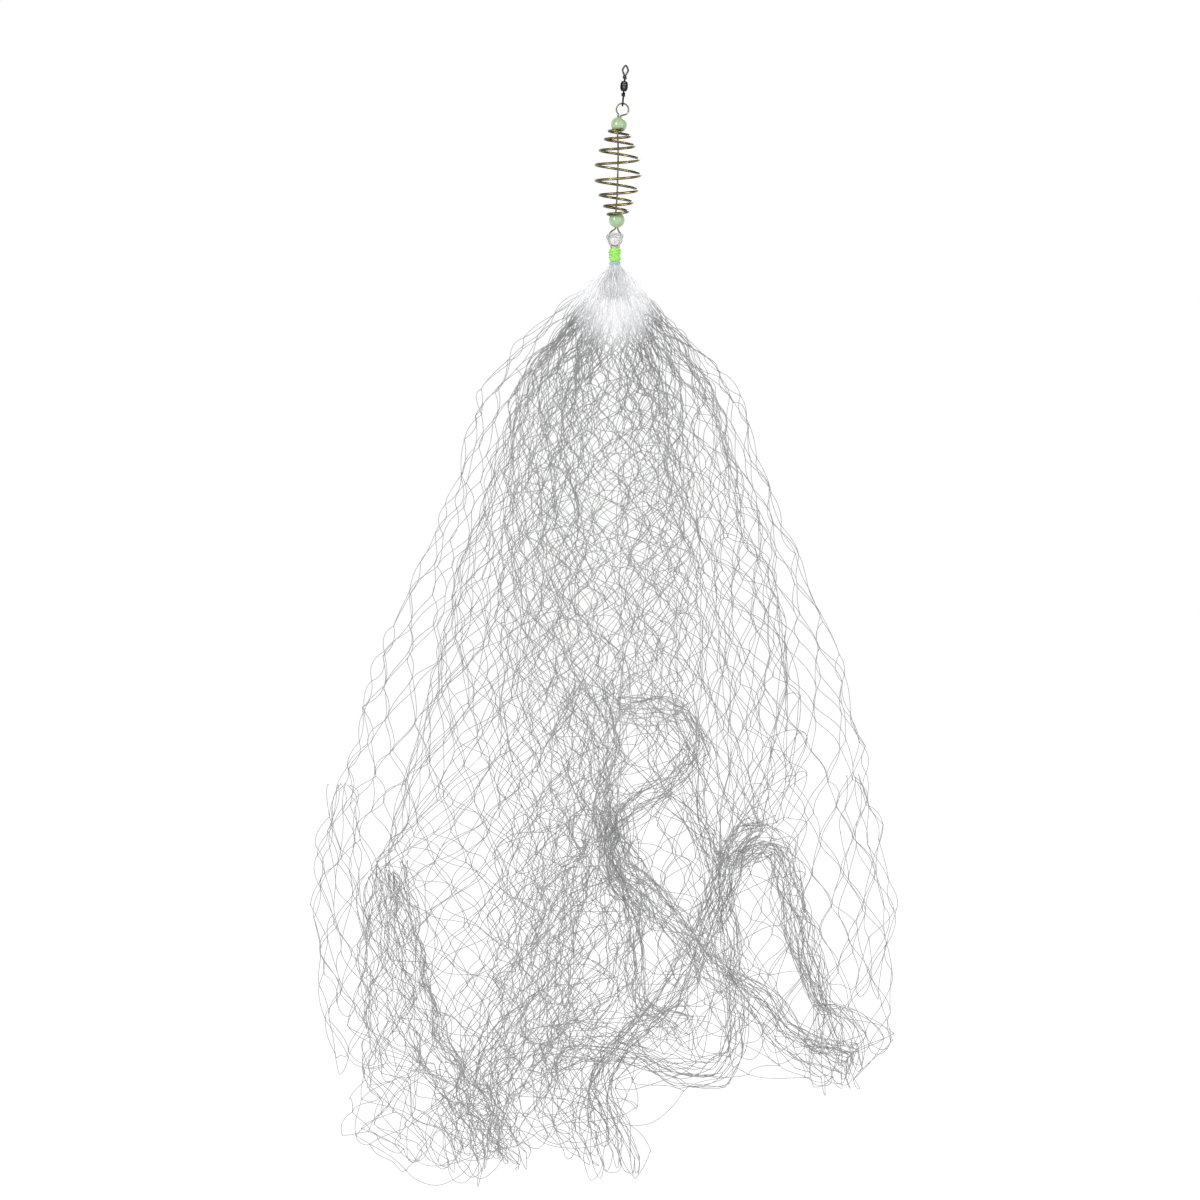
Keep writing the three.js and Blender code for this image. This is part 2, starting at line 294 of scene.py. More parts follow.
def arc(centre, radius, start, end, count):
    """[x, z] points on an arc, from start to end in degrees."""
    angle = np.radians(np.linspace(start, end, count))
    return np.stack([centre[0] + radius * np.cos(angle), centre[1] + radius * np.sin(angle)], 1)


def smooth_path(points, per_span=12):
    """A centripetal Catmull-Rom curve through points."""
    p = np.asarray(points, float)
    p = np.vstack([2 * p[0] - p[1], p, 2 * p[-1] - p[-2]])
    out = []
    for corners in zip(p[:-3], p[1:-2], p[2:-1], p[3:]):
        steps = [max(np.linalg.norm(b - a), 1e-6) ** 0.5 for a, b in zip(corners, corners[1:])]
        t0, t1, t2, t3 = np.concatenate([[0.0], np.cumsum(steps)])
        for t in np.linspace(t1, t2, per_span, endpoint=False):
            level = corners
            for spans in (((t0, t1), (t1, t2), (t2, t3)), ((t0, t2), (t1, t3)), ((t1, t2),)):
                level = [
                    a * (end - t) / (end - start) + b * (t - start) / (end - start)
                    for (start, end), a, b in zip(spans, level, level[1:])
                ]
            out.append(level[0])
    out.append(p[-2])
    return np.array(out)


def resample(path, count):
    """count points at equal distances along path."""
    path = np.asarray(path, float)
    run = np.concatenate([[0], np.cumsum(np.linalg.norm(np.diff(path, axis=0), axis=1))])
    wanted = np.linspace(0, run[-1], count)
    return np.stack([np.interp(wanted, run, path[:, i]) for i in range(3)], 1)


def flat(points):
    """[x, z] points as [x, 0, z]."""
    points = np.asarray(points, float)
    return np.stack([points[:, 0], np.zeros(len(points)), points[:, 1]], 1)


# ---- materials

class Nodes:
    """Short ways to add shader nodes to a tree and link them."""

    def __init__(self, tree):
        self.tree = tree

    def node(self, kind, **settings):
        made = self.tree.nodes.new(kind)
        for key, value in settings.items():
            setattr(made, key, value)
        return made

    def link(self, source, target):
        self.tree.links.new(source, target)

    def split(self, source):
        made = self.node("ShaderNodeSeparateXYZ")
        self.link(source, made.inputs["Vector"])
        return made.outputs

    def math(self, operation, *values):
        """A math node on sockets or plain numbers."""
        made = self.node("ShaderNodeMath", operation=operation)
        for socket, value in zip(made.inputs, values):
            if isinstance(value, (int, float)):
                socket.default_value = value
            else:
                self.link(value, socket)
        return made.outputs[0]

    def span(self, source, low, high, start=0.0, end=1.0, kind="LINEAR"):
        """The source's start to end mapped to low to high."""
        made = self.node("ShaderNodeMapRange", interpolation_type=kind)
        names = ("From Min", "From Max", "To Min", "To Max")
        for socket, value in zip(names, (start, end, low, high)):
            made.inputs[socket].default_value = value
        self.link(source, made.inputs["Value"])
        return made.outputs["Result"]

    def ramp(self, source, stops):
        made = self.node("ShaderNodeValToRGB")
        elements = made.color_ramp.elements
        while len(elements) < len(stops):
            elements.new(0.5)
        for element, (position, colour) in zip(elements, stops):
            element.position = position
            element.color = (*colour, 1)
        self.link(source, made.inputs["Fac"])
        return made.outputs["Color"]


class Paint(Nodes):
    """A material whose Principled shader is driven by noise in the object's own space."""

    def __init__(self, name, **plain):
        self.material = bpy.data.materials.new(name)
        self.material.use_nodes = True
        super().__init__(self.material.node_tree)
        self.shader = next(n for n in self.tree.nodes if n.type == "BSDF_PRINCIPLED")
        for socket, value in plain.items():
            self.shader.inputs[socket.replace("_", " ")].default_value = value
        self.place = self.node("ShaderNodeTexCoord").outputs["Object"]

    def feed(self, source, socket):
        self.link(source, self.shader.inputs[socket])

    def noise(self, scale, detail=4.0, stretch=(1, 1, 1)):
        mapping = self.node("ShaderNodeMapping")
        mapping.inputs["Scale"].default_value = stretch
        self.link(self.place, mapping.inputs["Vector"])
        made = self.node("ShaderNodeTexNoise")
        made.inputs["Scale"].default_value = scale
        made.inputs["Detail"].default_value = detail
        self.link(mapping.outputs["Vector"], made.inputs["Vector"])
        return made.outputs["Fac"]

    def colour(self, source, stops):
        self.feed(self.ramp(source, stops), "Base Color")

    def roughness(self, source, low, high):
        self.feed(self.span(source, low, high), "Roughness")

    def bump(self, source, height, strength=0.5):
        made = self.node("ShaderNodeBump")
        made.inputs["Distance"].default_value = height
        made.inputs["Strength"].default_value = strength
        self.link(source, made.inputs["Height"])
        self.feed(made.outputs["Normal"], "Normal")


def mottle_and_facing_shade(paint, axis, turned_away, scale, spread):
    """Noise in tone plus how far a surface turns along (or away from) an axis, which paints shade where it
    turns one way and a highlight where it turns the other.
    """
    normal = paint.split(paint.node("ShaderNodeTexCoord").outputs["Normal"])
    facing = paint.math("ABSOLUTE", normal[axis])
    if turned_away:
        facing = paint.math("SUBTRACT", 1.0, facing)
    # the facing term is painted shade and highlight; only the noise is the metal's own tone
    return paint.math("MULTIPLY_ADD", paint.noise(scale, 6), spread, facing)


def black_nickel():
    paint = Paint("black_nickel", Metallic=1.0)
    # painted highlight down the middle of each part where it faces front or back along Y, and painted shade
    # where it turns sideways; the noise is real tone
    paint.colour(mottle_and_facing_shade(paint, "Y", True, 900, 0.4), [
        (0.10, (0.42, 0.41, 0.39)), (0.24, (0.05, 0.048, 0.045)),
        (0.45, (0.012, 0.011, 0.010)), (1.0, (0.005, 0.005, 0.005)),
    ])
    paint.roughness(paint.noise(2200), 0.14, 0.36)
    paint.bump(paint.noise(3000, 6), 0.00003, 0.35)
    return paint.material


def steel_wire():
    paint = Paint("steel_wire", Metallic=1.0)
    # painted highlight along the middle of the wire where it faces front or back along Y, and painted shade
    # at its sides; the noise is real tone
    paint.colour(mottle_and_facing_shade(paint, "Y", True, 420, 0.5), [
        (0.17, (0.62, 0.57, 0.46)), (0.28, (0.22, 0.175, 0.11)),
        (0.44, (0.06, 0.045, 0.027)), (1.0, (0.02, 0.014, 0.009)),
    ])
    paint.roughness(paint.noise(1800), 0.16, 0.38)
    paint.bump(paint.noise(2500, 4, (1, 1, 0.1)), 0.00002, 0.4)
    return paint.material


def antique_brass():
    paint = Paint("antique_brass", Metallic=1.0)
    # painted shade on the top and bottom of the coils, where the wire faces up or down, and a painted
    # highlight along their middle; the noise is real tone
    paint.colour(mottle_and_facing_shade(paint, "Z", False, 260, 0.5), [
        (0.22, (0.95, 0.82, 0.40)), (0.34, (0.36, 0.28, 0.085)),
        (0.5, (0.07, 0.054, 0.018)), (1.0, (0.012, 0.009, 0.005)),
    ])
    paint.roughness(paint.noise(1500), 0.16, 0.40)
    paint.bump(paint.noise(2600, 5), 0.00003, 0.35)
    return paint.material


def luminous_plastic():
    paint = Paint(
        "luminous_plastic", Subsurface_Weight=0.35, Subsurface_Scale=0.002, IOR=1.48, Coat_Weight=0.35,
        Coat_Roughness=0.12, Roughness=0.3,
    )
    paint.shader.inputs["Subsurface Radius"].default_value = (0.6, 1.0, 0.6)
    mottle = [(0.3, (0.30, 0.435, 0.25)), (0.6, (0.375, 0.515, 0.30)), (0.85, (0.45, 0.59, 0.37))]
    paint.colour(paint.noise(500, 5), mottle)
    paint.roughness(paint.noise(1300), 0.16, 0.34)
    paint.bump(paint.noise(1800, 3), 0.00004, 0.25)
    return paint.material


def thread(name, dark, middle, light):
    paint = Paint(name, Specular_IOR_Level=0.7, Roughness=0.4)
    fibre = paint.noise(1500, 5, (1, 1, 1.6))
    paint.colour(fibre, [(0.28, dark), (0.5, middle), (0.76, light)])
    paint.roughness(paint.noise(2600), 0.24, 0.5)
    paint.bump(fibre, 0.00012, 0.6)
    return paint.material


def monofilament(name, dark, light, glow):
    """Nylon strand: glow stands in for the light that passes through a loose bundle of it."""
    paint = Paint(name, IOR=1.53, Specular_IOR_Level=0.6, Emission_Color=(1, 1, 1, 1), Emission_Strength=glow)
    paint.colour(paint.noise(130, 3), [(0.3, dark), (0.7, light)])
    paint.roughness(paint.noise(700), 0.16, 0.36)
    paint.bump(paint.noise(5000, 3), 0.00001, 0.3)
    return paint.material


def netting_paint():
    """Grey filament, painted paler towards the neck and given a painted glow there."""
    paint = Paint("netting", IOR=1.53, Specular_IOR_Level=0.6, Emission_Color=(1, 1, 1, 1))
    place = paint.split(paint.place)
    squares = []
    for axis, centre, reach in (("X", NET_AXIS[0], 15.0), ("Z", NET_AXIS[2] - 19, 21.0)):
        shift = paint.math("SUBTRACT", place[axis], centre * MM)
        share = paint.math("ABSOLUTE", paint.math("DIVIDE", shift, reach * MM))
        squares.append(paint.math("POWER", share, 2.0))
    # away: 0 at the neck and 1 well out from it; near the neck it mixes in a painted pale colour
    away = paint.span(paint.math("ADD", *squares), 0.0, 1.0, 0.35, 3.2, "SMOOTHSTEP")
    grey = paint.ramp(paint.noise(130, 3), [(0.3, (0.26, 0.26, 0.265)), (0.7, (0.38, 0.38, 0.385))])
    pale = paint.ramp(paint.noise(160, 3), [(0.3, (0.74, 0.74, 0.76)), (0.7, (0.9, 0.9, 0.92))])
    mix = paint.node("ShaderNodeMix", data_type="RGBA")
    paint.link(away, mix.inputs["Factor"])
    paint.link(pale, mix.inputs["A"])
    paint.link(grey, mix.inputs["B"])
    paint.feed(mix.outputs["Result"], "Base Color")
    # painted glow: emission that rises towards the neck
    paint.feed(paint.span(away, 0.13, 0.0), "Emission Strength")
    paint.roughness(paint.noise(700), 0.16, 0.36)
    paint.bump(paint.noise(5000, 3), 0.00001, 0.3)
    return paint.material


NICKEL = black_nickel()
STEEL = steel_wire()
BRASS = antique_brass()
LUMINOUS = luminous_plastic()
LIME_PAINT = thread("lime_thread", (0.18, 0.50, 0.05), (0.33, 0.77, 0.12), (0.78, 0.95, 0.40))
BLUE_PAINT = thread("blue_thread", (0.21, 0.36, 0.38), (0.38, 0.55, 0.57), (0.74, 0.85, 0.85))
NETTING = netting_paint()
HEAD_PAINT = monofilament("head_strand", (0.13, 0.13, 0.14), (0.72, 0.72, 0.74), 0.08)
TUFT_PAINT = monofilament("tuft_strand", (0.50, 0.50, 0.52), (0.76, 0.76, 0.78), 0.12)
FRIZZ_PAINT = monofilament("fine_strand", (0.62, 0.62, 0.63), (0.80, 0.80, 0.81), 0.2)


def finish_piece(piece, body, slot, *nodes):
    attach(piece, body)
    if nodes:
        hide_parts(*nodes)
    return piece


# ---- swivel

def eye_path(far, collar):
    """The wire of an eye, from the collar round its far end and back, as [x, z] points."""
    reach = far - collar
    side = [(0.25, 0.0), (0.62 * EYE_HALF, 0.26), (EYE_HALF, 0.52)]
    side += [(0.72 * EYE_HALF, 0.78), (0.3 * EYE_HALF, 0.95)]
    right = [(x, collar + reach * share) for x, share in side]
    left = [(-x, z) for x, z in reversed(right)]
    return [*right, (0.0, far), *left]


def swivel_eye(name, far, collar, barrel_end, quarter_turn):
    """An eye whose wire is wrapped twice round its own shank, with the shank's head inside the barrel."""
    parts = Parts()
    outwards = math.copysign(1, far - collar)
    loop = smooth_path(flat(eye_path(far, collar)), 10)
    parts.add(*sweep(loop, EYE_WIRE, 14))
    wraps = np.linspace(0, 1, 90)
    angle = wraps * 2 * math.pi * 2.4 * outwards
    height = collar - outwards * (0.1 + 1.7 * wraps)
    reach = 0.62 - 0.1 * np.cos(2 * math.pi * wraps * 2)
    coil = np.stack([reach * np.cos(angle), reach * np.sin(angle), height], 1)
    parts.add(*sweep(coil, 0.42, 12, rounded_ends(90, 0.04)))
    head = barrel_end - outwards * 1.65
    neck = barrel_end - outwards * 0.78
    shank = [
        (0.02, head), (0.95, head), (1.12, head + outwards * 0.2), (1.12, neck - outwards * 0.2),
        (0.9, neck), (SHANK, neck + outwards * 0.08),
        (SHANK, collar + outwards * 0.2), (0.02, collar + outwards * 0.45),
    ]
    parts.add(*turned(shank if outwards > 0 else shank[::-1], 28, False))
    turn = np.eye(3)
    if quarter_turn:
        turn = np.array([[0.0, 1.0, 0.0], [-1.0, 0.0, 0.0], [0.0, 0.0, 1.0]])
    return parts.mesh(name, NICKEL, lambda points: swivel(points @ turn))


def swivel_barrel():
    """The turned barrel: a domed shoulder at each end, a groove by each shoulder, hollow inside."""
    end = BARREL_TOP - BARREL_LENGTH
    middle = (BARREL_TOP + end) / 2
    half = BARREL_LENGTH / 2
    outer = [
        (0.8, half), (1.0, half), (1.22, half - 0.05), (1.42, half - 0.2), (1.6, half - 0.5),
        (1.7, half - 0.78),
        (1.64, half - 0.86), (1.64, half - 0.96), (1.8, half - 1.06), (1.9, half - 1.5), (BARREL_RADIUS, 0.3),
    ]
    outer = [*outer, *[(radius, -height) for radius, height in reversed(outer)]]
    inner = [(0.8, 0.45 - half), (1.25, 0.75 - half), (1.35, 0.0), (1.25, half - 0.75), (0.8, half - 0.45)]
    profile = [(radius, middle + height) for radius, height in [*outer, *inner]]
    points, faces = turned(profile[::-1], 48, True)
    return make_mesh("swivel_barrel_shell", swivel(points), faces, NICKEL)


# ---- feeder

def feeder_shaft():
    """One wire from tail to tail: upper ring, both bead bores, lower ring."""
    lower = -BEAD_SPACING
    ring = arc(UPPER_RING, RING_HALF, -50, 230, 15)
    lower_centre = (LOWER_RING_SHIFT, LOWER_RING_END + RING_HALF)
    lower_ring = arc(lower_centre, RING_HALF, 130, 410, 15)
    lower_ring[lower_ring[:, 1] > lower_centre[1], 1] += LOWER_RING_STRAIGHT
    route = [
        (LEG, -2.4), (LEG, LEG_REACH), *ring, (-LEG, LEG_REACH), (-LEG, -LEG_REACH), (-0.1, -12),
        (0, lower / 2), (-0.1, lower + 12), (-LEG, lower + LEG_REACH), (-LEG, lower - LEG_REACH + 1),
        (-LEG, lower - LEG_REACH), *lower_ring, (LEG, lower - LEG_REACH), (LEG, lower - LEG_REACH + 1),
        (LEG, lower + 2.4),
    ]
    path = resample(smooth_path(flat(route), 12), 620)
    points, faces = sweep(path, SHAFT_WIRE, 14, rounded_ends(620, 0.003))
    return make_mesh("shaft_wire", feeder(points), faces, STEEL)


def bead(name, height):
    """A moulded bead: chamfered bore, and the faint ridge of its parting line."""
    lip = BEAD_BORE + 0.22
    tilt = math.degrees(math.acos(lip / BEAD_RADIUS))
    angles = np.radians(np.linspace(-tilt, tilt, 47))
    ridge = 0.035 * np.exp(-((np.degrees(angles) / 1.6) ** 2))
    outer = np.stack([(BEAD_RADIUS + ridge) * np.cos(angles), (BEAD_RADIUS + ridge) * np.sin(angles)], 1)
    top = outer[-1, 1]
    bore = np.array([(BEAD_BORE, top - 0.16), (BEAD_BORE, 0), (BEAD_BORE, 0.16 - top)])
    points, faces = turned(np.vstack([outer, bore]), 64, True)
    return make_mesh(name, feeder(points + [0, 0, height]), faces, LUMINOUS)


def spring_path(count):
    share = np.linspace(0, 1, count)
    rise = share - SPRING_CROWDING * np.sin(2 * math.pi * share) / (2 * math.pi)
    swell = np.sin(math.pi * rise) ** 1.1
    radius = SPRING_END_RADIUS + (SPRING_WAIST_RADIUS - SPRING_END_RADIUS) * swell
    angle = SPRING_START + 2 * math.pi * SPRING_TURNS * share
    x = radius * np.cos(angle)
    z = SPRING_BOTTOM + (SPRING_TOP - SPRING_BOTTOM) * rise - SPRING_SHEAR * x
    return np.stack([x, radius * np.sin(angle), z], 1)


def feeder_spring():
    points, faces = sweep(spring_path(720), SPRING_WIRE, 16, rounded_ends(720, 0.0015))
    return make_mesh("bait_spring", feeder(points), faces, BRASS)


# ---- net head

def whipping(name, top, bottom, radius, pitch, seed, taper, material):
    """Close turns of thread over a core, with a few turns laid back across them."""
    rng = np.random.default_rng(seed)
    parts = Parts()
    inside = CORE_RADIUS + 0.15
    narrow = inside * (1 - taper)
    core = [(narrow - 0.4, bottom), (narrow + 0.1, bottom), (inside + 0.1, top), (inside - 0.4, top)]
    parts.add(*turned(core, 40, True))
    turns = (top - bottom - 2 * radius) / pitch
    count = int(turns * 40)
    share = np.linspace(0, 1, count)
    angle = 2 * math.pi * turns * share + rng.uniform(0, 6)
    wander = np.interp(share, np.linspace(0, 1, 30), rng.normal(0, 0.05, 30))
    out = narrow + (inside - narrow) * share + radius + 0.04 * np.sin(angle * 0.37) + wander
    height = bottom + radius + (top - bottom - 2 * radius) * share + 0.5 * wander
    turn = np.stack([out * np.cos(angle), out * np.sin(angle), height], 1)
    parts.add(*sweep(turn, radius, 8, rounded_ends(count, 0.004)))
    for start in rng.uniform(0, 6.28, 3):
        share = np.linspace(0, 1, 70)
        angle = start + share * 2 * math.pi * 1.2
        out = narrow + (inside - narrow) * share + 2.5 * radius + 0.03 * np.sin(9 * angle)
        height = bottom + radius + (top - bottom - 2 * radius) * (0.08 + 0.84 * share)
        over = np.stack([out * np.cos(angle), out * np.sin(angle), height], 1)
        parts.add(*sweep(over, radius * 0.85, 8, rounded_ends(70, 0.05)))
    return parts.mesh(name, material, net)


def head_strands():
    """Netting strands drawn up through the lower ring, over its wire and back into the whipping."""
    rng = np.random.default_rng(11)
    ears = []
    for _ in range(EARS):
        side = rng.choice([-1.0, 1.0])
        spread = side * rng.uniform(2.4, 4.6)
        lift = rng.uniform(4.0, 6.6)
        depth = rng.uniform(0.7, 1.6)
        waist = side * rng.uniform(1.3, 2.3)
        front = [
            (0.5 * waist, -rng.uniform(0.5, 1.6), -3.4), (waist, -rng.uniform(0.6, 1.4), -0.9),
            (0.75 * spread, -depth, 0.4 * lift), (spread, -0.75 * depth, 0.8 * lift),
        ]
        back = [(x, -y, z) for x, y, z in reversed(front)]
        path = np.array([*front, (0.95 * spread, 0.0, lift), *back]) + rng.normal(0, 0.16, (9, 3))
        ears.append(resample(smooth_path(path, 5), 36))
    arches = []
    for _ in range(ARCHES):
        reach = rng.uniform(2.6, 4.5)
        top = rng.uniform(4.4, 6.6)
        y = rng.choice([-1.0, 1.0]) * rng.uniform(0.65, 1.6)
        half = [(1.5, 0.7 * y, -2.2), (2.0, y, -0.4), (0.85 * reach, y, 0.4 * top), (reach, y, 0.84 * top)]
        left = [(-x, depth, z) for x, depth, z in half]
        path = np.array([*left, (rng.uniform(-1, 1), y, top), *reversed(half)]) + rng.normal(0, 0.18, (9, 3))
        arches.append(resample(smooth_path(path, 5), 36))
    parts = Parts()
    parts.add(*tubes(net(ears), 0.1, 6))
    parts.add(*tubes(net(arches), 0.1, 6))
    stubs = []
    for _ in range(STUBS):
        angle = rng.uniform(0, 2 * math.pi)
        reach = rng.uniform(0.8, 2.6)
        start = np.array([1.7 * math.cos(angle), 1.6 * math.sin(angle), -1.6])
        tip = start + [reach * math.cos(angle), 0.7 * reach * math.sin(angle), rng.uniform(3.5, 8.0)]
        middle = (start + tip) / 2 + rng.normal(0, 0.35, 3)
        stubs.append(resample(smooth_path([start, middle, tip], 8), 12))
    parts.add(*tubes(net(stubs), 0.07, 5))
    core = [
        (0.05, -12.6), (1.1, -12.3), (1.35, -11.0), (CORE_RADIUS, -7.9), (CORE_RADIUS, -1.9), (0.8, -1.3),
        (0.05, -1.2),
    ]
    points, faces = turned(core, 32, False)
    parts.add(net(points), faces)
    return parts.mesh("head_strands", HEAD_PAINT)


def strand_tuft():
    """The egg of looped strand ends below the whippings, in front of the netting."""
    rng = np.random.default_rng(5)
    heights = np.array([0.0, 0.12, 0.32, 0.52, 0.72, 0.9, 1.0])
    widths = np.array([0.3, 0.48, 0.74, 0.94, 1.0, 0.76, 0.2])
    loops = []
    for _ in range(TUFT_LOOPS):
        angle = rng.uniform(0, 2 * math.pi)
        swell = TUFT_HALF * rng.uniform(0.2, 1.06)
        drop = TUFT_LENGTH * rng.uniform(0.86, 1.02)
        turn = angle + rng.normal(0, 0.35) * heights + rng.normal(0, 0.06, 7)
        x = widths * swell * np.cos(turn) - 0.6 * heights
        y = 0.8 * widths * swell * np.sin(turn) - TUFT_FORWARD * heights
        path = np.stack([x, y, -8.8 - drop * heights], 1)
        path = path + rng.normal(0, 0.32, (7, 3)) * heights[:, None] ** 0.5
        loops.append(resample(smooth_path(path, 8), 24))
    parts = Parts()
    parts.add(*tubes(net(loops), 0.11, 5))
    return parts.mesh("strand_tuft_loops", TUFT_PAINT)


def frizz():
    """Very fine broken filaments that stand out round the tuft and hang below it."""
    rng = np.random.default_rng(8)
    strands = []
    for _ in range(FRIZZ_STRANDS):
        angle = rng.uniform(0, 2 * math.pi)
        slope = rng.uniform(0.0, 1.0) ** 0.7 * 0.95
        length = rng.uniform(12, 42) * (1.0 - 0.25 * slope)
        out = np.array([slope * math.cos(angle), 0.35 * slope * math.sin(angle) - 0.16, -1.0])
        out /= np.linalg.norm(out)
        start = np.array([1.9 * math.cos(angle), 1.9 * math.sin(angle), -10.4])
        steps = np.linspace(0, 1, 7)[:, None]
        path = start + out * length * steps + rng.normal(0, 1.0, (7, 3)) * steps
        strands.append(resample(smooth_path(path, 5), 16))
    parts = Parts()
    parts.add(*tubes(net(strands), 0.055, 3, np.linspace(1, 0.5, 16)))
    return parts.mesh("neck_frizz", FRIZZ_PAINT)


# ---- netting

# Distance of a layer's folded edge from the net axis at depths below the whippings
LEFT_EDGE = [
    (0, 4.6), (15, 20), (55, 58), (136, 93), (207, 126), (286, 149), (349, 154), (398, 146), (450, 128),
]
RIGHT_EDGE = [
    (0, 4.6), (15, 20), (58, 60), (111, 81), (187, 113), (248, 129), (349, 140), (387, 139), (420, 118),
]
COLUMN_EDGE = [
    (0, 4.6), (15, 17), (45, 38), (110, 54), (220, 60), (330, 76), (420, 96), (460, 80),
]

# Where part of a layer is gathered, it hangs on stations: x and z of one side of the bunch, x and z of the
# other side, and y. Two close sides make a rope of netting, and it fans out again where they part.
MAIN_ROPE = [
    (-22, -366, -2, -362, -68), (-10, -402, 1, -394, -72), (5, -418, 15, -406, -72),
    (20, -433, 30, -421, -71), (34, -449, 44, -437, -71), (49, -462, 59, -450, -70),
    (61, -471, 71, -458, -69), (74, -488, 85, -476, -67), (86, -499, 97, -485, -65),
    (100, -508, 117, -492, -62),
]
LOOP_ROPE = [
    (-12, -322, -5, -314, -64), (6, -324, 10, -311, -70), (24, -328, 31, -317, -72),
    (30, -338, 41, -336, -72), (22, -347, 33, -350, -72), (5, -357, 14, -368, -70),
    (-12, -370, -3, -381, -68), (-14, -396, -3, -399, -66), (-3, -420, 6, -421, -64),
    (0, -445, 9, -446, -63), (1, -466, 11, -468, -62), (6, -488, 36, -474, -60),
]
ARCH_ROPE = [
    (40, -402, 54, -407, -52), (50, -388, 61, -400, -54), (60, -383, 65, -395, -56),
    (71, -380, 70, -392, -57), (81, -386, 74, -394, -57), (86, -404, 74, -407, -57),
    (94, -431, 81, -437, -56), (103, -454, 91, -462, -54), (108, -473, 98, -479, -53),
    (122, -482, 92, -492, -51), (124, -494, 94, -506, -50),
]
SHELL_ROPE = [
    (46, -396, 58, -403, -46), (58, -385, 64, -396, -48), (71, -382, 70, -393, -51),
    (84, -398, 73, -402, -51), (96, -436, 83, -441, -50), (108, -470, 97, -476, -48),
    (132, -474, 98, -478, -46), (133, -490, 93, -496, -44), (120, -504, 86, -490, -43),
]
CROSS_ROPE = [
    (79, -392, 66, -396, 44), (70, -382, 68, -394, 45), (58, -386, 64, -398, 45), (44, -412, 56, -424, 44),
    (34, -432, 46, -446, 42), (24, -452, 36, -468, 40), (9, -474, 21, -490, 38), (-8, -494, 4, -506, 36),
    (-20, -514, -8, -524, 34), (-26, -538, 4, -544, 33), (-20, -562, 10, -560, 32),
]
SWAG_ROPE = [
    (40, -396, 56, -402, 46), (43, -424, 56, -426, 42), (49, -449, 61, -449, 40), (51, -470, 61, -468, 38),
    (51, -498, 61, -500, 36), (45, -509, 55, -519, 35), (33, -511, 38, -524, 34), (19, -507, 22, -520, 33),
    (3, -497, 4, -511, 32), (-16, -491, -17, -509, 31), (-38, -487, -42, -514, 30),
]
LEFT_HUMP = [
    (-129, -402, -117, -400, -40), (-132, -424, -111, -420, -45), (-134, -446, -103, -441, -47),
    (-135, -475, -97, -472, -48), (-135, -499, -88, -496, -46), (-133, -522, -72, -516, -44),
    (-131, -541, -60, -534, -42), (-124, -553, -56, -548, -40),
]
LEFT_HUMP_BACK = [
    (-130, -408, -116, -404, 34), (-132, -440, -106, -436, 36), (-133, -474, -98, -470, 36),
    (-132, -500, -90, -496, 35), (-131, -524, -76, -518, 34), (-131, -544, -64, -538, 32),
    (-122, -555, -56, -554, 30),
]
HEM_BUNCH = [
    (-60, -380, -20, -376, 42), (-66, -420, -24, -414, 42), (-72, -458, -30, -450, 41),
    (-78, -484, -38, -474, 40), (-82, -504, -50, -492, 38), (-94, -520, -58, -508, 34),
    (-97, -540, -58, -524, 31), (-90, -556, -60, -546, 29),
]
MIDDLE_BUNCH = [
    (-22, -416, 16, -416, 44), (-28, -450, 12, -446, 42), (-40, -482, 0, -476, 40),
    (-50, -500, -14, -492, 38), (-48, -514, -16, -506, 37), (-44, -536, -18, -524, 36),
    (-32, -558, -4, -546, 34),
]
CENTRE_BUNCH = [
    (-34, -306, -10, -304, -36), (-40, -330, -4, -328, -40), (-38, -358, -3, -356, -40),
    (-32, -384, 0, -382, -38), (-24, -404, 12, -400, -36), (-12, -426, 24, -422, -34),
]
LEFT_HEM = [
    (-150, -362, -142, -362, 6), (-157, -384, -139, -382, 8), (-162, -412, -136, -410, 8),
    (-160, -444, -132, -442, 8), (-150, -476, -126, -480, 8),
]
RIGHT_HEM = [
    (112, -356, 118, -356, -8), (106, -380, 126, -380, -10), (106, -406, 133, -404, -10),
    (106, -436, 137, -434, -10), (102, -462, 132, -466, -10),
]
LOW_BUNCH = [
    (-40, -400, -14, -394, -60), (-54, -440, -24, -432, -62), (-64, -474, -28, -466, -60),
    (-66, -494, -30, -484, -58), (-82, -512, -50, -500, -56), (-96, -530, -58, -518, -54),
    (-94, -552, -60, -540, -52),
]

# The three kinds of layer. leaf: columns in each half of the folded layer. row: drop from knot to knot.
# pleat: depth of its pleats. swing, turn: how far and how often its slack hem sways. shake: how loose its
# knots are.
WING = dict(
    leaf=15, row=ROW, pleat=6, swing=3.0, turn=0.7, shake=1.2, reach=1.0, outer=(0, 0), gathers=[],
)
SIDE = dict(leaf=11, row=ROW, pleat=9, swing=3.0, turn=0.7, shake=1.2)
COLUMN = dict(edge=COLUMN_EDGE, leaf=10, row=COLUMN_ROW, pleat=8, swing=6.0, turn=1.5, shake=2.0)

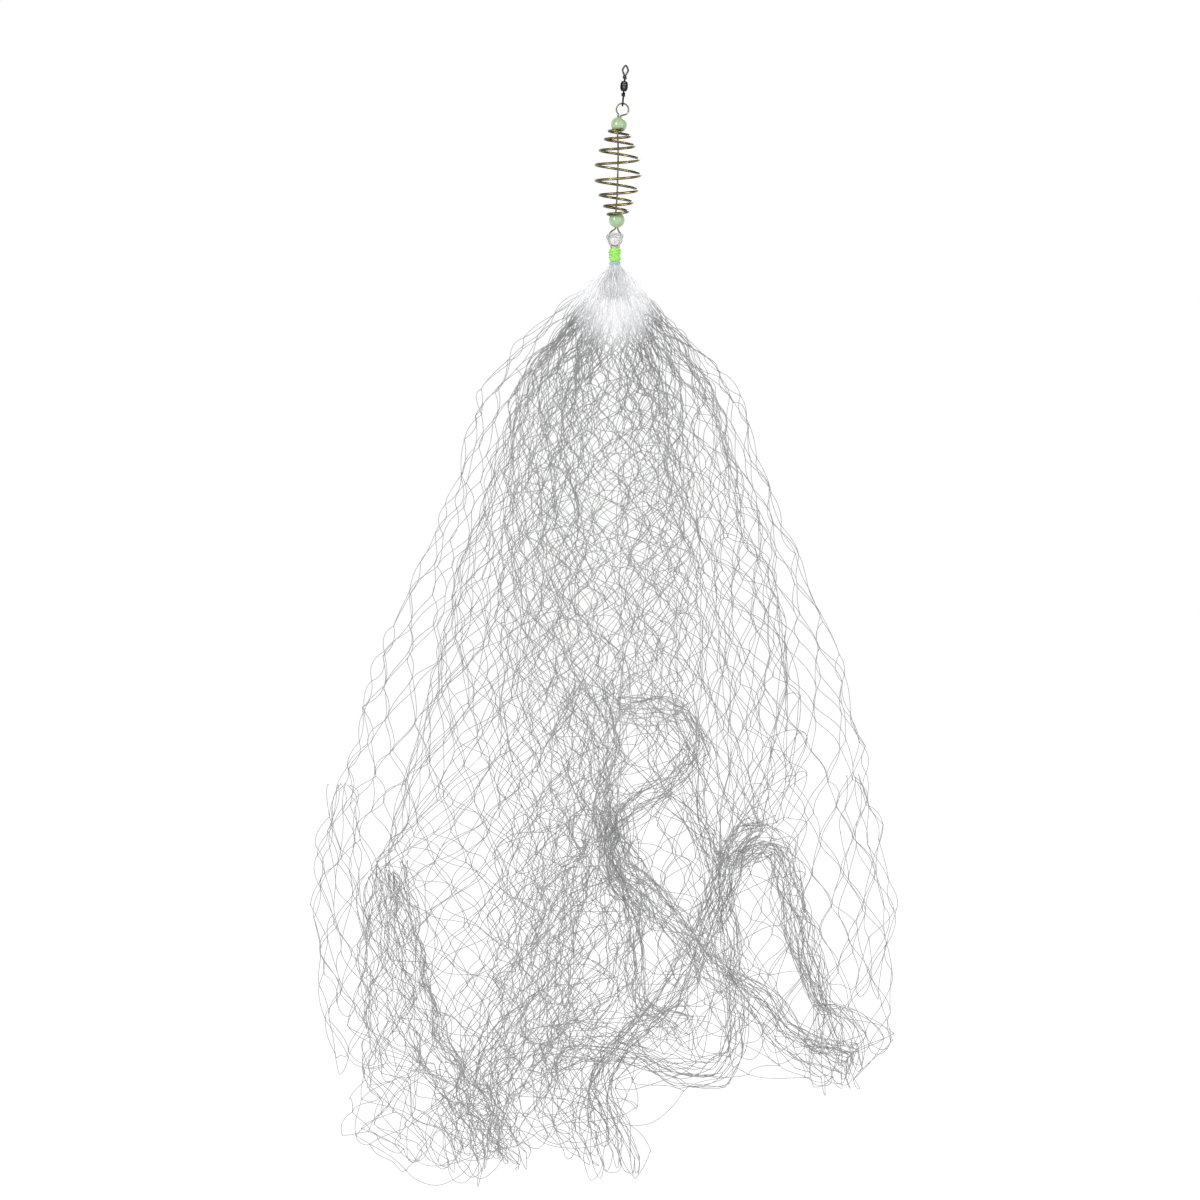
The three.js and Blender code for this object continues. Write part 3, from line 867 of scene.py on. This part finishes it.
# azimuth, reach and edge repeat the CAD. inner and outer: how far the two sides hang from the CAD's line,
# as x and y. hems: depth of the inner and outer corner. turned: sheets of hem turned up, and their columns.
# gathers: the columns bunched, from 0 at one end of the fold to 1 at the other, and their stations.
LAYERS = {
    "right": dict(WING, azimuth=0, edge=RIGHT_EDGE, inner=(18, 2), hems=(390, 388), turned=[(RIGHT_HEM, 7)]),
    "left": dict(WING, azimuth=180, edge=LEFT_EDGE, inner=(-20, -2), hems=(420, 392), turned=[(LEFT_HEM, 9)]),
    "front_left": dict(
        SIDE, azimuth=208, edge=LEFT_EDGE, reach=0.76, inner=(-8, -12), outer=(-8, 0), hems=(428, 440),
        turned=[(LEFT_HUMP, 27)],
        gathers=[(0.4, 0.6, LEFT_HUMP)],
    ),
    "front_right": dict(
        SIDE, azimuth=331, edge=RIGHT_EDGE, reach=0.8, inner=(4, -10), outer=(8, 0), hems=(388, 372),
        turned=[(SHELL_ROPE, 5), (ARCH_ROPE, 7)],
        gathers=[(0.0, 0.36, SHELL_ROPE), (0.54, 1.0, ARCH_ROPE)],
    ),
    "front_mid_left": dict(
        COLUMN, azimuth=244, reach=1.0, inner=(34, -30), outer=(-30, 8), hems=(452, 430),
        turned=[(LOW_BUNCH, 13), (LOOP_ROPE, 11), (CENTRE_BUNCH, 19)],
        gathers=[(0.0, 0.4, LOW_BUNCH), (0.52, 1.0, LOOP_ROPE)],
    ),
    "front_mid_right": dict(
        COLUMN, azimuth=296, reach=1.0, inner=(-50, -36), outer=(6, 8), hems=(440, 400),
        turned=[(MAIN_ROPE, 17)],
        gathers=[(0.46, 1.0, MAIN_ROPE)],
    ),
    "back_mid_right": dict(
        COLUMN, azimuth=62, reach=0.92, inner=(-40, 30), outer=(14, -8), hems=(445, 400),
        turned=[(SWAG_ROPE, 9)],
        gathers=[(0.5, 1.0, SWAG_ROPE)],
    ),
    "back_mid_left": dict(
        COLUMN, azimuth=118, reach=0.96, inner=(30, 24), outer=(-28, -8), hems=(440, 440),
        turned=[(MIDDLE_BUNCH, 13), (HEM_BUNCH, 17)],
        gathers=[(0.0, 0.4, MIDDLE_BUNCH), (0.54, 1.0, HEM_BUNCH)],
    ),
    "back_left": dict(
        SIDE, azimuth=152, edge=LEFT_EDGE, reach=0.8, inner=(-4, 14), outer=(-6, 0), hems=(425, 430),
        turned=[(LEFT_HUMP_BACK, 15)],
        gathers=[(0.42, 0.58, LEFT_HUMP_BACK)],
    ),
    "back_right": dict(
        SIDE, azimuth=27, edge=RIGHT_EDGE, reach=0.86, inner=(4, 12), outer=(4, 0), hems=(392, 372),
        turned=[(CROSS_ROPE, 13)],
        gathers=[(0.56, 1.0, CROSS_ROPE)],
    ),
}


def hermite(t, start, end, leave, enter):
    h00 = 2 * t ** 3 - 3 * t ** 2 + 1
    h10 = t ** 3 - 2 * t ** 2 + t
    h01 = 3 * t ** 2 - 2 * t ** 3
    h11 = t ** 3 - t ** 2
    return h00 * start + h10 * leave + h01 * end + h11 * enter


def smooth_noise(rng, shape, coarse):
    """Noise over a grid, smooth over about grid / coarse cells."""
    field = rng.normal(0, 1, coarse)
    rows = np.linspace(0, coarse[0] - 1, shape[0])
    columns = np.linspace(0, coarse[1] - 1, shape[1])
    first = np.array([np.interp(rows, np.arange(coarse[0]), field[:, j]) for j in range(coarse[1])]).T
    return np.array([np.interp(columns, np.arange(coarse[1]), line) for line in first])


def hanging(layer, share, v):
    """Places on columns at share of the way to the folded edge, at v of the way from whippings to hem."""
    depth = np.linspace(0, 560, 700)
    radius = np.interp(depth, [d for d, _ in layer["edge"]], [r for _, r in layer["edge"]]) * layer["reach"]
    azimuth = math.radians(layer["azimuth"])
    out = np.array([math.cos(azimuth), math.sin(azimuth)])
    opened = smoothstep(-12, 105, depth)[:, None]
    inner = 3.2 * out * (1 - opened) + np.array(layer["inner"]) * opened
    outer = radius[:, None] * out + np.array(layer["outer"]) * smoothstep(0, 70, depth)[:, None]
    flatten = 0.25 + 0.75 * smoothstep(12, 95, depth)
    inner[:, 1] *= flatten
    outer[:, 1] *= flatten
    places = np.empty((*v.shape, 3))
    for column, part in enumerate(share):
        level = inner + (outer - inner) * part
        step = np.linalg.norm(np.diff(np.column_stack([level, -depth]), axis=0), axis=1)
        length = np.concatenate([[0], np.cumsum(step)])
        hem = layer["hems"][0] + (layer["hems"][1] - layer["hems"][0]) * part
        run = v[:, column] * np.interp(hem, depth, length)
        for axis, values in enumerate((level[:, 0], level[:, 1], -depth)):
            places[:, column, axis] = np.interp(run, length, values)
    return places + NET_AXIS + [0, 0, NET_TOP], np.array([-out[1], out[0], 0.0])


def gathered(stations, across, run, before):
    """Places on a gather: its first station lies at run = before."""
    rows = np.array(stations, float)
    middle = np.stack([(rows[:, 0] + rows[:, 2]) / 2, rows[:, 4], (rows[:, 1] + rows[:, 3]) / 2], 1)
    mark = before + np.concatenate([[0], np.cumsum(np.linalg.norm(np.diff(middle, axis=0), axis=1))])
    slopes = np.gradient(rows, mark, axis=0)
    where = np.clip(run, mark[0], mark[-1])
    span = np.clip(np.searchsorted(mark, where, side="right") - 1, 0, len(mark) - 2)
    width = (mark[span + 1] - mark[span])[..., None]
    t = (where - mark[span])[..., None] / width
    at = hermite(t, rows[span], rows[span + 1], width * slopes[span], width * slopes[span + 1])
    x = at[..., 0] + (at[..., 2] - at[..., 0]) * across
    z = at[..., 1] + (at[..., 3] - at[..., 1]) * across
    wide = np.hypot(at[..., 2] - at[..., 0], at[..., 3] - at[..., 1])
    return np.stack([x, at[..., 4], z], -1), wide


def gather_run(stations):
    """Netting from the whippings to the gather's first station, and to its last."""
    rows = np.array(stations, float)
    middle = np.stack([(rows[:, 0] + rows[:, 2]) / 2, (rows[:, 1] + rows[:, 3]) / 2], 1)
    neck = np.array([NET_AXIS[0], NET_AXIS[2] + NET_TOP])
    before = np.linalg.norm(middle[0] - neck) * 1.03
    return before, before + np.linalg.norm(np.diff(middle, axis=0), axis=1).sum()


def knot_places(layer, rng):
    """Places of the layer's knots on a (rows, columns) grid; every second one of them is tied."""
    leaf = layer["leaf"]
    columns = 2 * leaf + 1
    from_fold = np.abs(np.arange(columns) - leaf)
    share = 0.985 * np.maximum(leaf - from_fold, 0) / (leaf - 1)
    share[leaf] = 1.0
    lengths = [gather_run(stations)[1] for _, _, stations in layer["gathers"]]
    longest = max([1.07 * max(layer["hems"]), *lengths])
    count = int(round(longest / layer["row"]))
    v = np.linspace(0, 1, count + 1)[:, None] * np.ones((1, columns))
    run = v * max(layer["hems"])

    base, side = hanging(layer, share, v)
    opened = smoothstep(5, 150, run)
    fold = np.sign(np.arange(columns) - leaf) * np.minimum(from_fold, 3) / 3.0
    wave = np.sin(2 * math.pi * (from_fold[None] / 5.2 + 0.5 * v) + layer["azimuth"])
    pleat = layer["pleat"] * opened * wave * np.minimum(from_fold, 3)[None] / 3
    base += (fold[None] * (1.0 + 4.5 * opened) + pleat)[..., None] * side
    slack = smoothstep(260, 420, run) * np.minimum(from_fold, 4)[None] / 4
    swing = layer["swing"] * slack
    base[..., 0] += swing * np.sin(from_fold[None] * layer["turn"] + 5.0 * v + layer["azimuth"])

    drift = np.stack([smooth_noise(rng, v.shape, (9, 9)) for _ in range(3)], -1) * [3.4, 3.4, 3.0]
    shake = rng.normal(0, 1.0, base.shape) * layer["shake"]
    loose = (0.25 + 0.75 * smoothstep(4, 70, run))[..., None]
    base += loose * (drift + shake)

    column = np.arange(columns) / (columns - 1)
    for (low, high, stations), length in zip(layer["gathers"], lengths):
        before = gather_run(stations)[0]
        along = v * length
        across = np.clip((column - low) / (high - low), 0, 1)[None] * np.ones(v.shape)
        held, wide = gathered(stations, across, along, before)
        thick = 1.6 + 0.06 * wide
        held[..., 1] += thick * np.sin(9.0 * across + 5.0 * v) + fold[None] * 1.2
        held += (0.3 + 0.05 * wide)[..., None] * (0.5 * drift + 0.7 * shake)
        inside = smoothstep(low - 0.16, low + 0.01, column)
        inside = inside * (1 - smoothstep(high - 0.01, high + 0.16, column))
        weight = inside[None] * smoothstep(before - 80, before + 12, along)
        base = base * (1 - weight[..., None]) + held * weight[..., None]
    return base


def knit_bars(start, end, before, after, rng, sway):
    """Curved bars between knots: each leaves and enters along the run of the netting, and slack bows out."""
    chord = end - start
    span = np.linalg.norm(chord, axis=1, keepdims=True)
    slack = np.clip(BAR * 1.03 - span, 0.9, 6)
    bow = np.sqrt(0.375 * slack * span) * rng.uniform(0.3, 1.0, (len(span), 1))
    pull = np.sum(sway * chord, axis=1, keepdims=True) / np.maximum(span, 1e-6) ** 2
    lateral = unit(unit(sway - chord * pull) + rng.normal(0, 0.5, chord.shape))
    stiff = rng.uniform(0.25, 0.65, (len(span), 1))
    leave = (1 - stiff) * chord + stiff * span * before + 2.8 * bow * lateral
    enter = (1 - stiff) * chord + stiff * span * after - 2.8 * bow * lateral
    t = np.linspace(0, 1, 8)[None, :, None]
    return hermite(t, start[:, None], end[:, None], leave[:, None], enter[:, None])


def knot_shapes(places, runs):
    """Small knots: a ball drawn out along the run of the netting."""
    ring = np.arange(6) * math.pi / 3
    body = [(0.0, 0.0, -0.5)]
    for height, width in ((-0.26, 0.24), (0.0, 0.3), (0.26, 0.24)):
        body += [(width * math.cos(a), width * math.sin(a), height) for a in ring]
    body.append((0.0, 0.0, 0.5))
    body = np.array(body)
    around = np.arange(6)
    after = (around + 1) % 6
    top = np.stack([np.zeros(6, int), 1 + after, 1 + around], 1)
    bottom = np.stack([np.full(6, 19), 13 + around, 13 + after], 1)
    bands = [np.stack([1 + s + around, 1 + s + after, 7 + s + after, 7 + s + around], 1) for s in (0, 6)]
    up = unit(runs)
    across = unit(np.cross(up, [0.2, 0.95, 0.1]))
    basis = np.stack([across, np.cross(across, up), up], 1)
    points = places[:, None] + np.einsum("bj,kji->kbi", body, basis)
    offsets = (np.arange(len(places)) * len(body))[:, None, None]
    tips = (np.concatenate([top, bottom])[None] + offsets).reshape(-1, 3)
    return points.reshape(-1, 3), [tips, (np.concatenate(bands)[None] + offsets).reshape(-1, 4)]


def mesh_bars(grid, tied, outwards, rng):
    """The bars of every tied knot to the two knots below it."""
    rows, columns = tied.shape
    run = unit(np.gradient(grid, axis=0))
    widthways = np.gradient(grid, axis=1)
    j, k = np.meshgrid(np.arange(rows), np.arange(columns), indexing="ij")
    bars = []
    for step in (-1, 1):
        keep = tied & (j < rows - 1) & (k + step >= 0) & (k + step < columns)
        a, b = (j[keep], k[keep]), (j[keep] + 1, k[keep] + step)
        whole = np.linalg.norm(grid[a] - grid[b], axis=1) < TORN_BAR
        a, b = (a[0][whole], a[1][whole]), (b[0][whole], b[1][whole])
        sway = widthways[a] * step
        leaf = (columns - 1) // 2
        edge = np.abs(a[1] - leaf) + np.abs(b[1] - leaf) == 1
        sway[edge] = outwards * np.where(np.maximum(a[1], b[1])[edge] > leaf, 1.0, -1.0)[:, None]
        bars.append(knit_bars(grid[a], grid[b], run[a], run[b], rng, sway))
    return np.concatenate(bars), run


def doubled(stations, columns, rng):
    """The lower part of a layer turned up again, as a grid of its own that is closer at one side."""
    before, length = gather_run(stations)
    widths = [math.hypot(c - a, d - b) for a, b, c, d, _ in stations]
    pitch = 0.75 * ROW if sum(widths) > 25 * len(widths) else 1.05 * ROW
    rows = max(int(round((length - before) / pitch)), 5)
    across = (1 - (1 - np.linspace(0, 1, columns)) ** 1.8)[None] * np.ones((rows + 1, 1))
    v = np.linspace(0.0, 1, rows + 1)[:, None] * np.ones((1, columns))
    held, wide = gathered(stations, across, before + (0.02 + 0.97 * v) * (length - before), before)
    held[..., 1] += (1.6 + 0.06 * wide) * np.sin(8.0 * across - 6.0 * v + 1.5)
    drift = np.stack([smooth_noise(rng, v.shape, (5, 6)) for _ in range(3)], -1) * 2.2
    return held + (0.3 + 0.05 * wide)[..., None] * (0.6 * drift + rng.normal(0, 1.0, held.shape))


def hem_loops(hem, rng):
    """Slack half meshes between the lowest knots."""
    loops = []
    for p, e in zip(hem[:-1], hem[1:]):
        if np.linalg.norm(e - p) > TORN_BAR:
            continue
        gap = min(np.linalg.norm(e - p), 12)
        deep = math.sqrt((0.9 * BAR) ** 2 - gap ** 2) * rng.uniform(0.35, 0.65)
        middle = (p + e) / 2 + [0, 0, -deep] + rng.normal(0, 2.2, 3)
        shoulder = 0.3 * middle - [0, 0, 2]
        loops.append(resample(smooth_path([p, 0.7 * p + shoulder, middle, 0.7 * e + shoulder, e], 5), 14))
    return loops


def strand_roots(first, rng):
    """The top strands of the netting, drawn together into the whippings."""
    angle = rng.uniform(0, 2 * math.pi, len(first))
    ring = np.stack([np.cos(angle), np.sin(angle), np.zeros(len(first))], 1)
    root = net(1.6 * ring + [0, 0, -9.6])
    middle = net(2.0 * ring + [0, 0, -11.2])
    return [resample(smooth_path([p, m, e], 5), 8) for p, m, e in zip(root, middle, first)]


def knit(parts, grid, outwards, rng, rooted):
    """Bars, knots and hem of one sheet of netting. A rooted sheet hangs from the whippings."""
    tied = np.add.outer(*[np.arange(count) for count in grid.shape[:2]]) % 2 == 0
    bars, run = mesh_bars(grid, tied, outwards, rng)
    knots = tied & (np.arange(len(grid)) >= rooted)[:, None]
    parts.add(*tubes(bars, MONO, 5))
    parts.add(*knot_shapes(grid[knots], run[knots]))
    if rooted:
        parts.add(*tubes(strand_roots(grid[0][tied[0]], rng), MONO, 5))
    parts.add(*tubes(hem_loops(grid[-1][tied[-1]], rng), MONO, 5))


def net_layer(name, layer):
    """One layer of knotted netting, from the whippings to its hem."""
    rng = np.random.default_rng(100 + layer["azimuth"])
    azimuth = math.radians(layer["azimuth"])
    parts = Parts()
    outwards = np.array([math.cos(azimuth), math.sin(azimuth), 0.0])
    knit(parts, knot_places(layer, rng), outwards, rng, True)
    for stations, columns in layer["turned"]:
        knit(parts, doubled(stations, columns, rng), np.array([1.0, 0.0, 0.0]), rng, False)
    return parts.mesh("netting_" + name, NETTING)


# ---- build

def build_swivel():
    top_collar = BARREL_TOP + 2.75
    bottom_collar = BARREL_TOP - BARREL_LENGTH - 2.6
    top = swivel_eye("swivel_line_eye", EYE_WIRE, top_collar, BARREL_TOP, False)
    finish_piece(top, "line_eye", "black_nickel", "swivel_top_eye")
    finish_piece(swivel_barrel(), "barrel", "black_nickel", "swivel_barrel")
    bottom = swivel_eye("swivel_feeder_eye", BOTTOM_EYE_END, bottom_collar, BARREL_TOP - BARREL_LENGTH, True)
    finish_piece(bottom, "bottom_eye", "black_nickel", "swivel_bottom_eye")


def build_feeder():
    finish_piece(feeder_shaft(), "shaft", "steel_wire", "feeder_shaft")
    finish_piece(bead("bead_upper", 0.0), "upper_bead", "luminous_plastic", "upper_bead")
    finish_piece(bead("bead_lower", -BEAD_SPACING), "lower_bead", "luminous_plastic", "lower_bead")
    spring = finish_piece(feeder_spring(), "spring", "antique_brass", "feeder_spring")
    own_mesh(spring)


WHIPPINGS = (  # colour, top and bottom, thread radius, pitch, seed, taper, material
    ("lime", LIME, LIME_THREAD, 0.56, 3, 0.0, LIME_PAINT),
    ("blue", BLUE, BLUE_THREAD, 0.5, 4, 0.3, BLUE_PAINT),
)


def build_net():
    strands = head_strands()
    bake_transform(strands)
    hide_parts("net_head_loop")
    for colour, ends, radius, pitch, seed, taper, paint in WHIPPINGS:
        turns = whipping(colour + "_whipping_turns", *ends, radius, pitch, seed, taper, paint)
        finish_piece(turns, "net_head", colour + "_thread", colour + "_whipping")
    finish_piece(strand_tuft(), "net_head", "monofilament", "strand_tuft")
    finish_piece(frizz(), "net_head", "monofilament")
    for name, layer in LAYERS.items():
        piece = net_layer(name, layer)
        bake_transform(piece)
        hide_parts("net_layer_" + name)


# ---- stage

FRAME_WIDTH = 607.2  # millimetres across the frame at the object
AIM = np.array([-12.9, 0.0, -269.4])
CAMERA_RISE = math.radians(5)
LENS = 250
FLOOR_GAP = 30  # from the CAD's lowest point down to the floor
FLOOR_HALF = 2500
LAMPS = (  # name, place, size, watts
    ("key", (-900, -1100, 500), 500, 11),
    ("fill", (1100, -900, 100), 700, 5),
    ("back", (300, 1200, 500), 600, 8),
)


def build_world():
    """White behind the object, and light that comes mostly from in front and behind."""
    world = bpy.data.worlds.new("studio")
    bpy.context.scene.world = world
    world.use_nodes = True
    nodes = Nodes(world.node_tree)
    background = nodes.tree.nodes["Background"]
    direction = nodes.split(nodes.node("ShaderNodeTexCoord").outputs["Generated"])
    towards = nodes.math("ABSOLUTE", direction["Y"])
    nodes.link(nodes.ramp(towards, [(0.25, (0.38,) * 3), (0.75, (1.0,) * 3)]), background.inputs["Color"])
    seen = nodes.node("ShaderNodeBackground")
    seen.inputs["Color"].default_value = (1, 1, 1, 1)
    mix = nodes.node("ShaderNodeMixShader")
    nodes.link(nodes.node("ShaderNodeLightPath").outputs["Is Camera Ray"], mix.inputs["Fac"])
    nodes.link(background.outputs["Background"], mix.inputs[1])
    nodes.link(seen.outputs["Background"], mix.inputs[2])
    nodes.link(mix.outputs["Shader"], nodes.tree.nodes["World Output"].inputs["Surface"])


def build_floor():
    paint = Paint(
        "floor", Roughness=1.0, Base_Color=(0.02, 0.02, 0.02, 1), Emission_Color=(1, 1, 1, 1),
        Emission_Strength=0.99,
    )
    low = (CAD_BOX[0][2] - FLOOR_GAP * MM) / MM
    corners = [(x * FLOOR_HALF, y * FLOOR_HALF, low) for x, y in ((-1, -1), (1, -1), (1, 1), (-1, 1))]
    make_mesh("floor", corners, [np.array([[0, 1, 2, 3]])], paint.material)


def build_lamps():
    for name, place, size, power in LAMPS:
        lamp = bpy.data.lights.new(name, "AREA")
        lamp.shape = "SQUARE"
        lamp.size = size * MM
        lamp.energy = power
        piece = bpy.data.objects.new(name, lamp)
        piece.location = np.array(place) * MM
        aim = bpy.data.objects.new(name + "_aim", None)
        aim.location = AIM * MM
        follow = piece.constraints.new("TRACK_TO")
        follow.target = aim
        follow.track_axis = "TRACK_NEGATIVE_Z"
        follow.up_axis = "UP_Y"
        bpy.context.scene.collection.objects.link(piece)
        bpy.context.scene.collection.objects.link(aim)


def build_camera():
    lens = bpy.data.cameras.new("camera")
    lens.lens = LENS
    lens.sensor_width = 36
    camera = bpy.data.objects.new("camera", lens)
    distance = FRAME_WIDTH * LENS / lens.sensor_width
    back = np.array([0, -math.cos(CAMERA_RISE), math.sin(CAMERA_RISE)])
    camera.location = (AIM + back * distance) * MM
    camera.rotation_euler = (math.pi / 2 - CAMERA_RISE, 0, 0)
    bpy.context.scene.collection.objects.link(camera)
    bpy.context.scene.camera = camera


bpy.context.scene.view_settings.view_transform = "Standard"
build_camera()
build_world()
build_floor()
build_lamps()
build_swivel()
build_feeder()
build_net()
